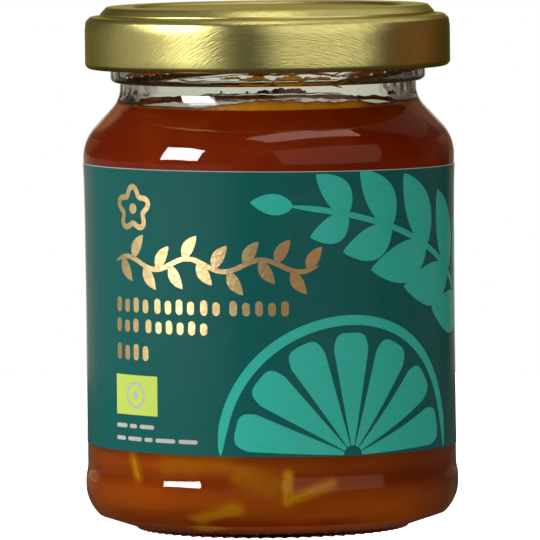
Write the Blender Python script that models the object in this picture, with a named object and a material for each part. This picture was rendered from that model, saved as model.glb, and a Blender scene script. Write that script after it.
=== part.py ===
"""A small shut jar of marmalade: round glass jar, twist-off lid, wrap-around paper label and the fill."""

from math import cos, pi, radians, sin

import bmesh
import bpy

MM = 0.001

# Lengths are in millimetres up to the mesh, which is in metres. The foot's bearing ring stands at height 0.
SIDES = 56

# Glass, outside
FOOT_INNER_RADIUS = 18.6
FOOT_OUTER_RADIUS = 20.3
FOOT_EDGE = 0.9
PUSH_UP = 1.6
HEEL_WIDEST = 28.5
HEEL_HEIGHT = 6.9
HEEL_CURVE = 6.4
HEEL_SWEEP = 52
HEEL_RETURN = 12
HEEL_TOP_RADIUS = 28.15
PANEL_RADIUS = 27.62
PANEL_LOW = 12.65
PANEL_HIGH = 55.95
PANEL_EASE = 0.35
SHOULDER_WIDEST = 28.33
SHOULDER_LOW = 56.3
SHOULDER_SLOPE = 43
SHOULDER_CURVE = 7.2
NECK_RADIUS = 22.6
NECK_HEIGHT = 66.6
NECK_CURVE = 3.5
BEAD_RADIUS = 24.0
BEAD_LOW = 68.2
BEAD_ROUND = 0.7
RIM_HEIGHT = 78.65

# Glass, inside
WALL_RADIUS = 25.7
FLOOR_HEIGHT = 4.8
FLOOR_CURVE = 4.5
BORE_RADIUS = 20.3
SHOULDER_INSIDE_LOW = 55.2
SHOULDER_INSIDE_CURVE = 5.0
RIM_ROUND = 0.5

# Fill
FIT_GAP = 0.3
FILL_LEVEL = 64.0

# Label
LABEL_INNER_RADIUS = PANEL_RADIUS + FIT_GAP
LABEL_THICKNESS = 0.3
LABEL_LOW = 13.0
LABEL_HIGH = 55.7
LABEL_OPEN_SIDES = 4

# Lid
SHEET = 0.55
LID_TOP = 79.65
PANEL_DROP = 0.5
PANEL_EDGE_RADIUS = 20.2
TOP_EDGE_RADIUS = 25.4
TOP_EDGE_ROUND = 1.3
STEP_HEIGHT = 78.15
SKIRT_RADIUS = 27.83
SKIRT_ROUND = 1.5
CURL_RADIUS = 0.9
LID_LOW = 70.25


def arc(centre, radius, start, end, steps):
    """Points (radius, height) of a circle's stretch, its angles in degrees above the outward direction."""
    turns = [radians(start + (end - start) * step / steps) for step in range(steps + 1)]
    return [(centre[0] + radius * cos(turn), centre[1] + radius * sin(turn)) for turn in turns]


def glass_profile():
    """The glass in section, from the middle of the underside up its outside and down its inside."""
    heel = (HEEL_WIDEST - HEEL_CURVE, HEEL_HEIGHT)
    shoulder = (SHOULDER_WIDEST - SHOULDER_CURVE, SHOULDER_LOW)
    neck = (NECK_RADIUS + NECK_CURVE, NECK_HEIGHT)
    bead = (BEAD_RADIUS - BEAD_ROUND, BEAD_LOW + BEAD_ROUND)
    rim_out = (BEAD_RADIUS - RIM_ROUND, RIM_HEIGHT - RIM_ROUND)
    rim_in = (BORE_RADIUS + RIM_ROUND, RIM_HEIGHT - RIM_ROUND)
    inside = (SHOULDER_INSIDE_CURVE, SHOULDER_INSIDE_LOW)
    inside = (WALL_RADIUS - inside[0], inside[1])
    neck_inside = NECK_CURVE + NECK_RADIUS - BORE_RADIUS
    floor = (WALL_RADIUS - FLOOR_CURVE, FLOOR_HEIGHT + FLOOR_CURVE)
    profile = [(0, PUSH_UP), (FOOT_INNER_RADIUS / 2, PUSH_UP * 0.8)]
    profile += [(FOOT_INNER_RADIUS, 0), (FOOT_OUTER_RADIUS, 0)]
    profile += [(FOOT_OUTER_RADIUS + FOOT_EDGE, FOOT_EDGE / 4)]
    profile += arc(heel, HEEL_CURVE, -HEEL_SWEEP, HEEL_RETURN, 7)
    profile += [(HEEL_TOP_RADIUS, PANEL_LOW - PANEL_EASE)]
    profile += [(PANEL_RADIUS, PANEL_LOW), (PANEL_RADIUS, PANEL_HIGH)]
    profile += arc(shoulder, SHOULDER_CURVE, 0, SHOULDER_SLOPE, 5)
    profile += arc(neck, NECK_CURVE, 180 + SHOULDER_SLOPE, 180, 4)
    profile += [(NECK_RADIUS, BEAD_LOW)]
    profile += arc(bead, BEAD_ROUND, -90, 0, 2)
    profile += arc(rim_out, RIM_ROUND, 0, 90, 2)
    profile += arc(rim_in, RIM_ROUND, 90, 180, 2)
    profile += arc(neck, neck_inside, 180, 180 + SHOULDER_SLOPE, 4)
    profile += arc(inside, SHOULDER_INSIDE_CURVE, SHOULDER_SLOPE, 0, 4)
    profile += arc(floor, FLOOR_CURVE, 0, -90, 5)
    return profile + [(0, FLOOR_HEIGHT)]


def fill_profile():
    """The fill in section: the inside of the glass, one gap smaller, up to its level."""
    corner = (WALL_RADIUS - FLOOR_CURVE, FLOOR_HEIGHT + FLOOR_CURVE)
    shoulder = (WALL_RADIUS - SHOULDER_INSIDE_CURVE, SHOULDER_INSIDE_LOW)
    neck = (NECK_RADIUS + NECK_CURVE, NECK_HEIGHT)
    neck_inside = NECK_RADIUS + NECK_CURVE - BORE_RADIUS + FIT_GAP
    drop = NECK_HEIGHT - FILL_LEVEL
    top_radius = neck[0] - (neck_inside**2 - drop**2) ** 0.5
    profile = [(0, FLOOR_HEIGHT + FIT_GAP)]
    profile += arc(corner, FLOOR_CURVE - FIT_GAP, -90, 0, 4)
    profile += arc(shoulder, SHOULDER_INSIDE_CURVE - FIT_GAP, 0, SHOULDER_SLOPE, 4)
    profile += arc(neck, neck_inside, 180 + SHOULDER_SLOPE, 180 + SHOULDER_SLOPE, 1)[:1]
    return profile + [(top_radius, FILL_LEVEL), (0, FILL_LEVEL)]


def lid_profile():
    """The lid in section, from the middle of its top down its outside and back up its inside."""
    top = (TOP_EDGE_RADIUS - TOP_EDGE_ROUND, LID_TOP - TOP_EDGE_ROUND)
    skirt = (SKIRT_RADIUS - SKIRT_ROUND, STEP_HEIGHT - SKIRT_ROUND)
    curl = (SKIRT_RADIUS - CURL_RADIUS, LID_LOW + CURL_RADIUS)
    under_top = arc(top, TOP_EDGE_ROUND - SHEET, 10, 90, 3)
    under_skirt = arc(skirt, SKIRT_ROUND - SHEET, 0, 75, 3)
    panel = LID_TOP - PANEL_DROP
    profile = [(0, panel), (PANEL_EDGE_RADIUS, panel), (PANEL_EDGE_RADIUS + PANEL_DROP, LID_TOP)]
    profile += arc(top, TOP_EDGE_ROUND, 90, 10, 5)
    profile += arc(skirt, SKIRT_ROUND, 80, 0, 5)
    profile += arc(curl, CURL_RADIUS, 0, -230, 8)
    profile += [(SKIRT_RADIUS - SHEET, curl[1] + CURL_RADIUS)]
    profile += under_skirt + under_top
    profile += [(PANEL_EDGE_RADIUS + PANEL_DROP, LID_TOP - SHEET)]
    return profile + [(PANEL_EDGE_RADIUS, panel - SHEET), (0, panel - SHEET)]


def label_profile():
    """The label in section, a thin upright strip."""
    outer = LABEL_INNER_RADIUS + LABEL_THICKNESS
    low = [(LABEL_INNER_RADIUS, LABEL_LOW), (outer, LABEL_LOW)]
    return low + [(outer, LABEL_HIGH), (LABEL_INNER_RADIUS, LABEL_HIGH)]


def finish(name, mesh, material, smooth_below):
    """The object of a finished bmesh, in metres, with its material and its edges smooth up to an angle."""
    bmesh.ops.recalc_face_normals(mesh, faces=mesh.faces)
    for face in mesh.faces:
        face.smooth = True
    for edge in mesh.edges:
        edge.smooth = edge.is_boundary or edge.calc_face_angle(pi) < radians(smooth_below)
    data = bpy.data.meshes.new(name)
    mesh.to_mesh(data)
    mesh.free()
    data.materials.append(material)
    part = bpy.data.objects.new(name, data)
    bpy.context.scene.collection.objects.link(part)
    return part


def ring(mesh, point, first, count):
    """The points of one profile point turned round the jar; a point on the axis stays one."""
    radius, height = point
    if radius == 0:
        return [mesh.verts.new((0, 0, height * MM))] * count
    turns = [2 * pi * (first + side) / SIDES for side in range(count)]
    return [
        mesh.verts.new((radius * MM * sin(turn), radius * MM * cos(turn), height * MM))
        for turn in turns
    ]


def skin(mesh, one, other, closed):
    """The faces between two turned profile points."""
    count = len(one)
    for side in range(count if closed else count - 1):
        after = (side + 1) % count
        corners = [one[side], one[after], other[after], other[side]]
        mesh.faces.new(dict.fromkeys(corners))


def turned(name, profile, material):
    """A solid of revolution, whose profile starts and ends on the axis."""
    mesh = bmesh.new()
    rings = [ring(mesh, point, 0, SIDES) for point in profile]
    for one, other in zip(rings, rings[1:]):
        skin(mesh, one, other, closed=True)
    return finish(name, mesh, material, smooth_below=35)


def wrapped(name, profile, open_sides, material):
    """A closed profile carried round the jar, but for some open sides in the middle of the back."""
    mesh = bmesh.new()
    rings = [ring(mesh, point, open_sides / 2, SIDES - open_sides + 1) for point in profile]
    for one, other in zip(rings, rings[1:] + rings[:1]):
        skin(mesh, one, other, closed=False)
    for end in (0, -1):
        mesh.faces.new([points[end] for points in rings])
    return finish(name, mesh, material, smooth_below=35)


def principled(name, color, roughness, metallic=0.0, transmission=0.0, ior=1.5):
    """A plain material from its own settings."""
    material = bpy.data.materials.new(name)
    material.use_nodes = True
    surface = material.node_tree.nodes["Principled BSDF"].inputs
    surface["Base Color"].default_value = (*color, 1)
    surface["Roughness"].default_value = roughness
    surface["Metallic"].default_value = metallic
    surface["Transmission Weight"].default_value = transmission
    surface["IOR"].default_value = ior
    material.diffuse_color = (*color, 1)
    return material


def main():
    """Clears the scene and makes the jar's four pieces."""
    for existing in list(bpy.data.objects):
        bpy.data.objects.remove(existing)
    flint_glass = principled("flint_glass", (0.93, 0.95, 0.94), 0.02, transmission=1.0)
    preserve = principled("preserve", (0.30, 0.06, 0.01), 0.25, transmission=0.4, ior=1.42)
    printed_paper = principled("printed_paper", (0.02, 0.12, 0.10), 0.45)
    gold_tinplate = principled("gold_tinplate", (0.60, 0.47, 0.18), 0.35, metallic=1.0)
    turned("jar", glass_profile(), flint_glass)
    turned("marmalade", fill_profile(), preserve)
    wrapped("label", label_profile(), LABEL_OPEN_SIDES, printed_paper)
    turned("lid", lid_profile(), gold_tinplate)


main()
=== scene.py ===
"""A small glass jar of marmalade with a wrap-around paper label and a brushed gold twist-off lid.

Lengths inside the classes are in millimetres and become metres when a mesh is made. The jar stands on Z = 0
with its axis on Z, and the middle of its label looks towards -Y. An angle round the jar is 0 at the label's
middle and grows towards +X.
"""

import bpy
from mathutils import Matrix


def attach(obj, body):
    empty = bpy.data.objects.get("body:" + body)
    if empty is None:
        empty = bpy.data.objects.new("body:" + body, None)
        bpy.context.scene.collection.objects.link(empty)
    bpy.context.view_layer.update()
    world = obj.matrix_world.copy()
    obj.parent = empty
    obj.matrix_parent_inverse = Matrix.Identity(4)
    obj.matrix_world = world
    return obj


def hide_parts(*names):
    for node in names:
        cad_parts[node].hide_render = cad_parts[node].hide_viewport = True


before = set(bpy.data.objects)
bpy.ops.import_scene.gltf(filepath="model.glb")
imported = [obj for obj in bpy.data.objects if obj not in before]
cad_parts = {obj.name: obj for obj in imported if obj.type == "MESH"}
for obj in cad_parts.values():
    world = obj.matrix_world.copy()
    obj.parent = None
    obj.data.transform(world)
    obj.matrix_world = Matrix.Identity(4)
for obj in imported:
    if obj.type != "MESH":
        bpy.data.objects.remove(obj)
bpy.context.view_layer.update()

import logging
from dataclasses import dataclass, field
from enum import Enum
from math import radians

import bmesh
import bpy
import numpy as np
from mathutils import Matrix

MM = 0.001
BODY = "root"
LOG = logging.getLogger("marmalade_jar")
Array = np.ndarray
Pair = tuple[float, float]
Table = tuple[tuple[float, ...], ...]
Ring = tuple[tuple[float, str], ...]
Tree = bpy.types.NodeTree
Socket = bpy.types.NodeSocket
Material = bpy.types.Material
Thing = bpy.types.Object


class Slot(Enum):
    """The record's material slots."""

    GLASS = "flint_glass"
    PRESERVE = "preserve"
    PAPER = "printed_paper"
    TINPLATE = "gold_tinplate"


class Shines(Enum):
    """Which rays a studio light reaches: mirror-like ones alone, or diffuse ones alone."""

    MIRRORED = "mirrored"
    DIFFUSE = "diffuse"


class Lights(Enum):
    """What a studio light falls on: all, the lid, the preserve (through all else), or neither of these."""

    EVERYTHING = "everything"
    LID = "lid"
    PRESERVE = "preserve"
    REST = "rest"


def linear(hex_color: str, alpha: float = 1.0) -> tuple[float, ...]:
    """Turns an sRGB colour of six hex digits into linear light, with alpha as the fourth value.

    Args:
        hex_color: Six hex digits, red first.
        alpha: The fourth value.

    Returns:
        Linear red, green and blue, and alpha.
    """
    srgb = np.array([int(hex_color[i : i + 2], 16) for i in (0, 2, 4)]) / 255
    light = np.where(srgb <= 0.04045, srgb / 12.92, ((srgb + 0.055) / 1.055) ** 2.4)
    return (*(float(v) for v in light), alpha)


def add_node(tree: Tree, kind: str, inputs: dict | None = None, **settings: object) -> bpy.types.Node:
    """Adds a shader node with its settings, values and links.

    Args:
        tree: The node tree it joins.
        kind: The node's type, without the ShaderNode in front.
        inputs: A value or another node's output for each named or numbered input.
        settings: The node's own properties.

    Returns:
        The new node.
    """
    node = tree.nodes.new("ShaderNode" + kind)
    for name, value in settings.items():
        setattr(node, name, value)
    for key, value in (inputs or {}).items():
        if isinstance(value, Socket):
            tree.links.new(value, node.inputs[key])
        else:
            node.inputs[key].default_value = value
    return node


def mix(tree: Tree, factor: Socket, low: Socket | str, high: Socket | str) -> Socket:
    """Adds a blend from low to high, each a hex colour or a node's output."""
    first, second = (linear(end) if isinstance(end, str) else end for end in (low, high))
    return add_node(tree, "Mix", {"Factor": factor, 6: first, 7: second}, data_type="RGBA").outputs[2]


def calc(tree: Tree, operation: str, *values: Socket | float, clamp: bool = False) -> Socket:
    """Adds a sum on numbers or on nodes' outputs."""
    return add_node(tree, "Math", dict(enumerate(values)), operation=operation, use_clamp=clamp).outputs[0]


def noise(tree: Tree, width: float, detail: float) -> Socket:
    """Adds noise in the object's own space, with blotches about width millimetres across.

    Args:
        tree: The node tree it joins.
        width: Its width in millimetres.
        detail: How many finer layers it has.

    Returns:
        The noise, from 0 to 1.
    """
    place = add_node(tree, "TexCoord").outputs["Object"]
    inputs = {"Vector": place, "Scale": 1 / (width * MM), "Detail": detail}
    return add_node(tree, "TexNoise", inputs).outputs["Fac"]


def stored(tree: Tree, name: str) -> Socket:
    """Adds a reader of one of the piece's point attributes."""
    return add_node(tree, "Attribute", attribute_name=name).outputs["Fac"]


def color_by(tree: Tree, shader: bpy.types.Node, color: Socket) -> None:
    """Gives a shader its base colour."""
    tree.links.new(color, shader.inputs["Base Color"])


def bump_by(tree: Tree, shader: bpy.types.Node, height: Socket, strength: float, depth: float) -> None:
    """Bumps a shader's surface by a height of up to depth millimetres."""
    bump = add_node(tree, "Bump", {"Height": height, "Strength": strength, "Distance": depth * MM})
    tree.links.new(bump.outputs["Normal"], shader.inputs["Normal"])


def start_material(name: str, **sockets: object) -> tuple[Material, Tree, bpy.types.Node]:
    """Makes a material with one Principled shader.

    Args:
        name: The material's name.
        sockets: Constants for the shader's inputs, with _ for each space.

    Returns:
        The material, its node tree and the shader node.
    """
    material = bpy.data.materials.new(name)
    material.use_nodes = True
    tree = material.node_tree
    shader = tree.nodes["Principled BSDF"]
    for key, value in sockets.items():
        shader.inputs[key.replace("_", " ")].default_value = value
    return material, tree, shader


def around(radius: Array | float, turn: Array, height: Array) -> Array:
    """Points round the jar's axis: x = r sin a, y = -r cos a, z = height."""
    return np.stack([radius * np.sin(turn), -radius * np.cos(turn), height], -1)


def circle(angle: Array) -> Array:
    """Unit vectors (cos a, sin a)."""
    return np.stack([np.cos(angle), np.sin(angle)], -1)


def joined(parts: list[tuple[Array, Array]]) -> tuple[Array, Array]:
    """Makes one set of points and faces of several, each set's faces numbered on from the set before.

    Args:
        parts: Points and faces of each set.

    Returns:
        All the points and all the faces.
    """
    starts = np.cumsum([0] + [len(points) for points, _ in parts])
    faces = [quads + start for (_, quads), start in zip(parts, starts)]
    return np.concatenate([points for points, _ in parts]), np.concatenate(faces)


def arc(centre: Pair, radius: float, start: float, end: float, steps: int) -> Array:
    """Points (radius, height) of an arc: centre + radius (cos a, sin a), with a even from start to end.

    Args:
        centre: The circle's middle, as radius and height.
        radius: Its radius.
        start: First angle, in degrees above the outward direction.
        end: Last angle.
        steps: How many stretches between the points.

    Returns:
        An array of steps + 1 rows.
    """
    return np.array(centre) + radius * circle(np.radians(np.linspace(start, end, steps + 1)))


def densify(profile: Array, longest: float) -> Array:
    """Adds points on the straight stretches of a profile, so that none is longer than a limit.

    Args:
        profile: Rows of radius and height.
        longest: The longest stretch to leave.

    Returns:
        The profile with the points between put in.
    """
    lengths = np.hypot(*np.diff(profile, axis=0).T)
    along = np.concatenate([[0.0], np.cumsum(lengths)])
    counts = np.maximum(1, np.ceil(lengths / longest).astype(int))
    parts = [np.linspace(a, b, n, endpoint=False) for a, b, n in zip(along, along[1:], counts)]
    wanted = np.concatenate([*parts, along[-1:]])
    return np.stack([np.interp(wanted, along, profile[:, i]) for i in (0, 1)], 1)


def grid_faces(rows: int, columns: int, closed: bool) -> Array:
    """Quads of a grid whose point (i, j) has number i * columns + j.

    Args:
        rows: Points one way.
        columns: Points the other way.
        closed: Whether the last column joins the first.

    Returns:
        One row of four point numbers for each face.
    """
    i, j = np.meshgrid(np.arange(rows - 1), np.arange(columns if closed else columns - 1), indexing="ij")
    k = (j + 1) % columns
    this, after = i * columns, (i + 1) * columns
    return np.stack([this + j, this + k, after + k, after + j], -1).reshape(-1, 4)


def turned(profile: Array, sides: int) -> tuple[Array, Array, list[list[int]]]:
    """A surface of revolution: x = r sin a, y = -r cos a, z = height, with a even round the circle.

    Args:
        profile: Rows of radius and height, from the axis back to the axis.
        sides: Points round the circle.

    Returns:
        The points, each point's angle, and the faces. The first and last point close the poles.
    """
    angle = np.linspace(0, 2 * np.pi, sides, endpoint=False)
    rings = profile[1:-1]
    turn, radius = np.meshgrid(angle, rings[:, 0])
    height = np.repeat(rings[:, 1:], sides, 1)
    body = around(radius, turn, height).reshape(-1, 3)
    poles = [[0, 0, profile[0, 1]], [0, 0, profile[-1, 1]]]
    points = np.concatenate([body, poles])
    quads = grid_faces(len(rings), sides, True)
    j = np.arange(sides)
    k = (j + 1) % sides
    last = (len(rings) - 1) * sides
    low = np.stack([np.full(sides, len(body)), k, j], 1)
    high = np.stack([np.full(sides, len(body) + 1), last + j, last + k], 1)
    angles = np.concatenate([turn.ravel(), [0, 0]])
    return points, angles, quads.tolist() + low.tolist() + high.tolist()


def slab(front: Array, back: Array, closed: bool = False) -> tuple[Array, Array]:
    """Joins two like grids of points into one closed thin slab.

    Args:
        front: Points (rows, columns, 3) of the outer face.
        back: The same for the inner face.
        closed: Whether the last column joins the first.

    Returns:
        The points and the quads.
    """
    rows, columns = front.shape[:2]
    count = rows * columns
    number = np.arange(count).reshape(rows, columns)
    if closed:
        rims = [number[0, :], number[-1, ::-1]]
    else:
        rims = [np.concatenate([number[0, :], number[1:, -1], number[-1, -2::-1], number[-2:0:-1, 0]])]
    face = grid_faces(rows, columns, closed)
    sides = [np.stack([rim, rim + count, np.roll(rim, -1) + count, np.roll(rim, -1)], 1) for rim in rims]
    faces = np.concatenate([face, face[:, ::-1] + count, *sides])
    return np.concatenate([front.reshape(-1, 3), back.reshape(-1, 3)]), faces


def make_piece(
    name: str,
    points: Array,
    faces: Array | list[list[int]],
    material: Material,
    slot: Slot,
    replaces: tuple[str, ...] = (),
    sharp: float = 40.0,
    merge: float = 0.0,
) -> Thing:
    """Makes a finished piece, in metres, that rides on the jar.

    Args:
        name: The piece's name.
        points: Its points in millimetres.
        faces: Its faces.
        material: Its finish.
        slot: The record's slot for that finish; not used.
        replaces: The nodes that it stands for.
        sharp: Edges that turn more than this many degrees stay sharp.
        merge: Points nearer than this, in millimetres, become one.

    Returns:
        The new object.
    """
    mesh = bpy.data.meshes.new(name)
    quads = faces if isinstance(faces, list) else faces.tolist()
    mesh.from_pydata((points * MM).tolist(), [], quads)
    work = bmesh.new()
    work.from_mesh(mesh)
    if merge:
        bmesh.ops.remove_doubles(work, verts=work.verts, dist=merge * MM)
    bmesh.ops.recalc_face_normals(work, faces=work.faces)
    work.to_mesh(mesh)
    work.free()
    mesh.shade_smooth()
    mesh.set_sharp_from_angle(angle=radians(sharp))
    mesh.materials.append(material)
    piece = bpy.data.objects.new(name, mesh)
    bpy.context.scene.collection.objects.link(piece)
    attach(piece, BODY)
    if replaces:
        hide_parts(*replaces)
    LOG.info("%s: %d points, %d faces", name, len(mesh.vertices), len(mesh.polygons))
    return piece


def point_attribute(piece: Thing, name: str, values: Array) -> None:
    """Stores one number for each point of a piece, for its material to read."""
    attribute = piece.data.attributes.new(name, "FLOAT", "POINT")
    attribute.data.foreach_set("value", values.astype(np.float32))


def smooth_noise(turn: Array, height: Array, seed: int, waves: int = 9, coarse: float = 3.0) -> Array:
    """A soft random field round the jar: a sum of sines of whole turns and of height, with random phases.

    Args:
        turn: Angles round the jar.
        height: Heights in millimetres.
        seed: The draw's seed.
        waves: How many sines are added.
        coarse: Mean number of waves round the jar.

    Returns:
        Values mostly between -1 and 1.
    """
    draw = np.random.default_rng(seed)
    total = np.zeros_like(turn)
    for wave in range(waves):
        times = 1 + int(coarse * (0.5 + wave * 0.5))
        slant = draw.uniform(-0.25, 0.25) * (1 + wave * 0.4)
        total += np.sin(times * turn + slant * height + draw.uniform(0, 2 * np.pi)) / (1 + wave * 0.45)
    return total / 2.2


@dataclass(frozen=True)
class FlintGlass:
    """Pressed soda-lime flint glass, fire polished: clear, faintly green, with a slightly wavy skin."""

    tint: str = "F6FAF6"
    ior: float = 1.5
    roughness: float = 0.0
    wave_width: float = 9.0
    wave_strength: float = 0.12

    def make(self) -> Material:
        """Builds the material.

        Returns:
            The material.
        """
        material, tree, shader = start_material(
            "flint_glass_fire_polished",
            Base_Color=linear(self.tint),
            Roughness=self.roughness,
            IOR=self.ior,
            Transmission_Weight=1.0,
        )
        bump_by(tree, shader, noise(tree, self.wave_width, 1.0), self.wave_strength, 1.0)
        return material


@dataclass(frozen=True)
class MarmaladeGel:
    """Boiled marmalade jelly against glass: dark amber, cloudy with fine pulp, lighter over sunken peel.

    Painted glow stands for light that gets through: a paler rim where it is seen edge on, and lighter bands.
    """

    deep: str = "6C1D01"
    # Colour where the painted glow of light through the jelly is full.
    light: str = "9C4508"
    peel: str = "BC7C0A"
    # Painted paler rim, standing for light that gets through the jelly seen edge on.
    rim: str = "A0582B"
    rim_from: float = 0.28
    rim_to: float = 0.308
    # Painted shade on the bottom, where no light comes from below.
    painted_underside_shade: str = "1C0802"
    pulp_width: float = 5.0
    grain_width: float = 1.0

    def make(self) -> Material:
        """Builds the material. Attributes say where colours lie: light painted glow, peel, reach painted
        rim, under painted shade.

        Returns:
            The material.
        """
        material, tree, shader = start_material("marmalade_gel", Roughness=0.5, Specular_IOR_Level=0.0)
        # Pulp tone by noise plus attribute light, a painted glow of light through the jelly.
        pulp_and_glow = calc(tree, "MULTIPLY_ADD", noise(tree, self.pulp_width, 3.0), 0.5, stored(tree, "light"))
        body = mix(tree, calc(tree, "SUBTRACT", pulp_and_glow, 0.25, clamp=True), self.deep, self.light)
        grain = calc(tree, "MULTIPLY_ADD", noise(tree, self.grain_width, 2.0), 0.5, 0.75)
        sunk = calc(tree, "MULTIPLY", stored(tree, "peel"), grain, clamp=True)
        # Painted pale rim where the surface is seen edge on, shifted by attribute reach, for light through
        # the jelly.
        aside = add_node(tree, "LayerWeight", {"Blend": 0.5}).outputs["Facing"]
        slant = calc(tree, "ADD", aside, stored(tree, "reach"))
        ends = {"From Min": self.rim_from, "From Max": self.rim_to}
        thin = add_node(tree, "MapRange", {"Value": slant, **ends}).outputs[0]
        lit = mix(tree, thin, mix(tree, sunk, body, self.peel), self.rim)
        # Painted shade: attribute under darkens the bottom.
        color_by(tree, shader, mix(tree, stored(tree, "under"), lit, self.painted_underside_shade))
        return material


@dataclass(frozen=True)
class WetSkin:
    """The marmalade's free surface: the set jelly's own wet skin, smooth enough to mirror the neck."""

    dark: str = "6A2A06"
    pale: str = "9A5208"
    patch_width: float = 4.0
    roughness: float = 0.03
    ior: float = 1.9

    def make(self) -> Material:
        """Builds the material.

        Returns:
            The material.
        """
        material, tree, shader = start_material("set_jelly_skin", Roughness=self.roughness, IOR=self.ior)
        color_by(tree, shader, mix(tree, noise(tree, self.patch_width, 3.0), self.dark, self.pale))
        return material


@dataclass(frozen=True)
class DriedSmear:
    """Marmalade left as a film on the glass: amber where thin, dark brown along its edges."""

    thin: str = "BC7A0A"
    edge: str = "3A1606"
    patch_width: float = 1.4

    def make(self, name: str) -> Material:
        """Builds the material. The piece's attribute edge is 0 in a patch's middle and 1 on its outline.

        Args:
            name: The material's name.

        Returns:
            The material.
        """
        material, tree, shader = start_material(name, Roughness=0.35, Specular_IOR_Level=0.2)
        mottled = calc(tree, "MULTIPLY_ADD", noise(tree, self.patch_width, 2.0), 0.9, -0.45)
        amount = calc(tree, "ADD", stored(tree, "edge"), mottled, clamp=True)
        color_by(tree, shader, mix(tree, amount, self.thin, self.edge))
        return material


@dataclass(frozen=True)
class PeelRind:
    """Cut orange peel cooked in syrup: deep yellow, and dulled by the jelly over it."""

    rind: str = "AE6A08"
    pith: str = "C6840A"
    pore_width: float = 1.2
    roughness: float = 0.6

    def make(self) -> Material:
        """Builds the material.

        Returns:
            The material.
        """
        dull = {"Roughness": self.roughness, "Specular_IOR_Level": 0.0}
        material, tree, shader = start_material("candied_peel", **dull)
        color_by(tree, shader, mix(tree, noise(tree, self.pore_width, 2.0), self.rind, self.pith))
        return material


@dataclass(frozen=True)
class PrintedPaper:
    """Coated label paper, offset printed and dried to a satin skin, with a fine horizontal fibre grain."""

    ink: str = "0A5450"
    core: str = "D8D4C4"
    roughness: float = 0.16
    fibre_length: float = 2.4
    fibre_width: float = 0.4
    fibre_depth: float = 0.02

    def make(self, name: str, ink: str | None = None) -> Material:
        """Builds the material.

        Args:
            name: The material's name.
            ink: The ink's colour, where it isn't the label's ground.

        Returns:
            The material. The ground's own has bare paper where the piece's attribute printed is 0.
        """
        material, tree, shader = start_material(name, Roughness=self.roughness)
        along, across = 1 / (self.fibre_length * MM), 1 / (self.fibre_width * MM)
        place = {"Vector": add_node(tree, "TexCoord").outputs["Object"], "Scale": (along, along, across)}
        stretched = add_node(tree, "Mapping", place).outputs[0]
        grain = {"Vector": stretched, "Scale": 1.0, "Detail": 3.0}
        fibres = add_node(tree, "TexNoise", grain).outputs["Fac"]
        shade = add_node(tree, "MapRange", {"Value": fibres, "To Min": 0.9, "To Max": 1.1}).outputs["Result"]
        tinted = {0: linear(ink or self.ink)[:3], "Scale": shade}
        color = add_node(tree, "VectorMath", tinted, operation="SCALE").outputs[0]
        if not ink:
            color = mix(tree, stored(tree, "printed"), self.core, color)
        color_by(tree, shader, color)
        bump_by(tree, shader, fibres, 0.2, self.fibre_depth)
        return material


@dataclass(frozen=True)
class GoldFoil:
    """Hot-stamped gold foil: bright metal, a little rough where it follows the paper."""

    metal: str = "F0D49A"
    roughness: float = 0.42
    crinkle_width: float = 0.7
    crinkle_depth: float = 0.12

    def make(self) -> Material:
        """Builds the material.

        Returns:
            The material.
        """
        material, tree, shader = start_material(
            "hot_stamped_gold_foil", Base_Color=linear(self.metal), Metallic=1.0, Roughness=self.roughness
        )
        bump_by(tree, shader, noise(tree, self.crinkle_width, 2.0), 0.5, self.crinkle_depth)
        return material


@dataclass(frozen=True)
class BrushedTinplate:
    """Tinplate brushed one way before it was drawn, under gold lacquer: streaks turn round the skirt."""

    lacquer: str = "EADE8E"
    worn: str = "B8AC64"
    edge: str = "A89A50"
    roughness: float = 0.31
    uneven: float = 0.08
    anisotropy: float = 0.4
    streak_length: float = 2.4
    streak_width: float = 0.2
    streak_depth: float = 0.05

    def make(self) -> Material:
        """Builds the material. The UV map holds the flat sheet's millimetres, so streaks run as brushed.

        Returns:
            The material.
        """
        material, tree, shader = start_material(
            "gold_lacquered_brushed_tinplate",
            Metallic=1.0,
            Specular_Tint=linear(self.edge),
            Anisotropic=self.anisotropy,
        )
        across = add_node(tree, "Tangent", direction_type="UV_MAP", uv_map="sheet").outputs[0]
        flat = add_node(tree, "UVMap", uv_map="sheet").outputs["UV"]
        scale = (1 / self.streak_width, 1 / self.streak_length, 1.0)
        stretched = add_node(tree, "Mapping", {"Vector": flat, "Scale": scale}).outputs[0]
        brushed = {"Vector": stretched, "Scale": 1.0, "Detail": 4.0}
        streaks = add_node(tree, "TexNoise", brushed).outputs["Fac"]
        ends = {"To Min": self.roughness - self.uneven, "To Max": self.roughness + self.uneven}
        rough = add_node(tree, "MapRange", {"Value": streaks, **ends}).outputs["Result"]
        tree.links.new(across, shader.inputs["Tangent"])
        tree.links.new(rough, shader.inputs["Roughness"])
        color_by(tree, shader, mix(tree, streaks, self.lacquer, self.worn))
        bump_by(tree, shader, streaks, 1.0, self.streak_depth)
        return material


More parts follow.
